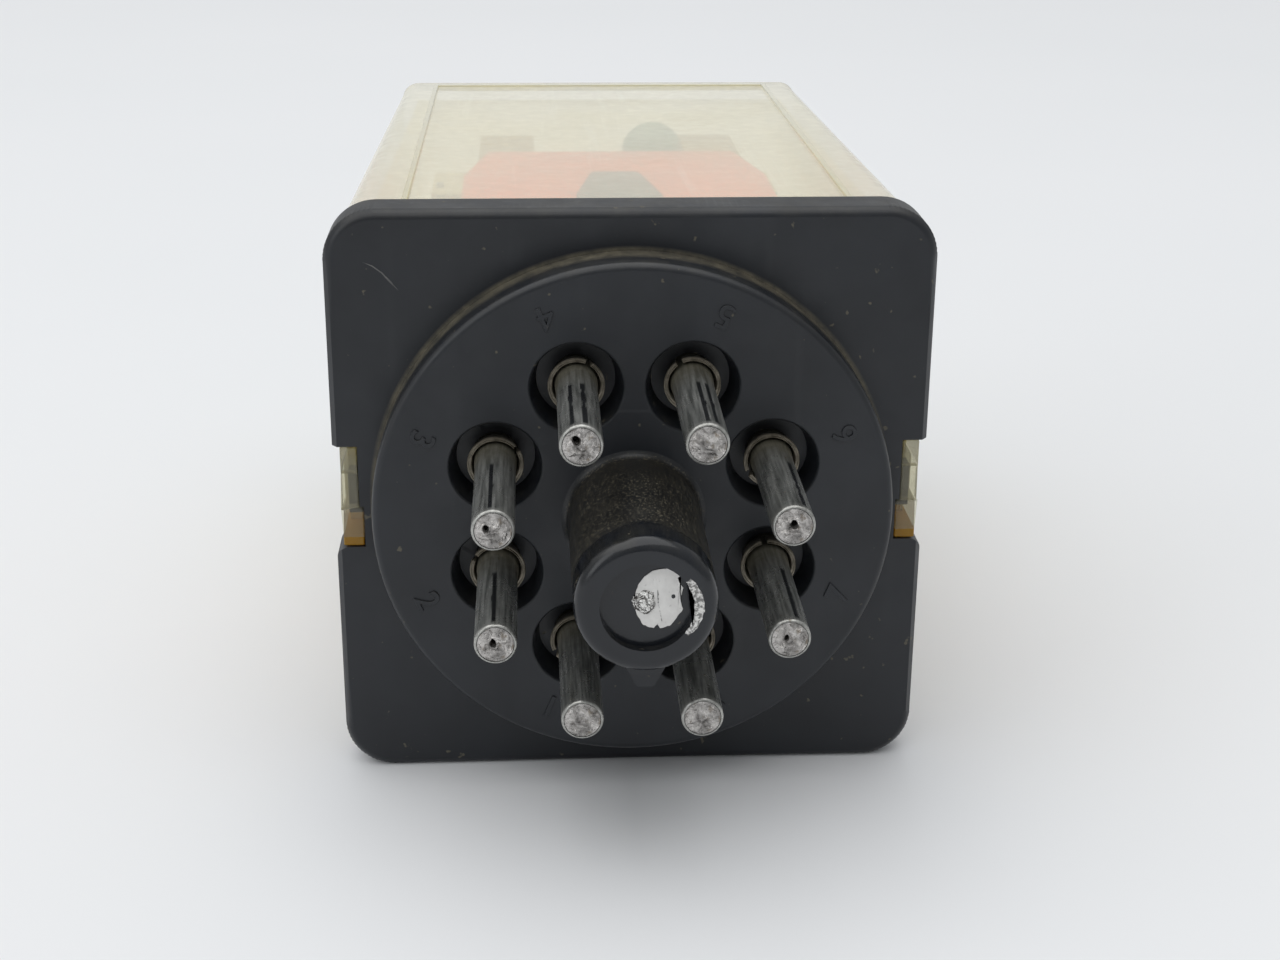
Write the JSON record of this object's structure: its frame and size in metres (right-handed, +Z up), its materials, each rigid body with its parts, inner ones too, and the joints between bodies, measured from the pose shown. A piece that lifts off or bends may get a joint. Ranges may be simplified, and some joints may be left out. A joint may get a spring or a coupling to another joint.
{
  "type": "plug-in relay",
  "caption": "Plug-in relay with a round keyed octal base, hollow pins and a clear yellowed push-on cover over a coil, hinged armature and changeover contacts.",
  "frame": {"origin": "centre of the round seating face, on the axis of the guide post and the pin circle", "axes": "-Y along the guide post and pins, towards the socket; +Y towards the cover's far end; +Z up, away from the key; +X to the right seen from the pins' side"},
  "size_m": [0.0356, 0.0697, 0.0356],
  "materials": {
    "black_plastic": "dusty phenolic moulding",
    "pin_metal": "worn nickel plate on brass",
    "solder": "uneven solder",
    "lacquer": "silver lacquer",
    "clear_cover": "yellowed clear plastic",
    "steel": "plated steel",
    "iron": "plated soft iron",
    "red_plastic": "orange-red moulding",
    "copper": "enamelled copper",
    "tape": "amber film tape",
    "spring_brass": "rolled sheet",
    "silver": "contact silver",
    "tinned_wire": "tinned copper",
    "red_wire": "insulated lead",
    "brown_plastic": "brown phenolic",
    "spring_steel": "drawn wire",
    "braid": "bare copper braid",
    "board": "laminate board",
    "green_lamp": "green lamp body",
    "resistor": "lacquered body"
  },
  "bodies": {
    "relay": {"base": "black_plastic", "pin_1": "pin_metal", "pin_2": "pin_metal", "pin_3": "pin_metal", "pin_4": "pin_metal", "pin_5": "pin_metal", "pin_6": "pin_metal", "pin_7": "pin_metal", "pin_8": "pin_metal", "solder_tips": "solder", "seal_dab": "lacquer", "cover": "clear_cover", "yoke": "iron", "frame_screws": "steel", "core": "iron", "bobbin": "red_plastic", "winding": "copper", "coil_tape": "tape", "coil_leads": "red_wire", "contact_block": "red_plastic", "block_screws": "steel", "no_blade_left": "spring_brass", "no_blade_right": "spring_brass", "nc_blade_left": "spring_brass", "nc_blade_right": "spring_brass", "fixed_contacts": "silver", "contact_wires": "tinned_wire", "return_spring": "spring_steel", "braid_left": "braid", "braid_right": "braid", "lamp_board": "board", "lamp": "green_lamp", "lamp_resistor": "resistor", "lamp_leads": "tinned_wire"},
    "armature": {"armature": "iron", "armature_rivets": "steel", "contact_carrier": "brown_plastic", "moving_blade_left": "spring_brass", "moving_blade_right": "spring_brass", "blade_rivets": "steel", "moving_contacts": "silver"}
  },
  "joints": [
    {"name": "armature_hinge", "type": "hinge", "parent": "relay", "child": "armature", "pos_m": [0, 0.0391, -0.0105], "axis": [1, 0, 0], "range_deg": [0, 3.2], "stiffness_Nm_per_rad": 0.02, "springref_deg": -9.74, "deforming": ["return_spring", "braid_left", "braid_right"]}
  ]
}
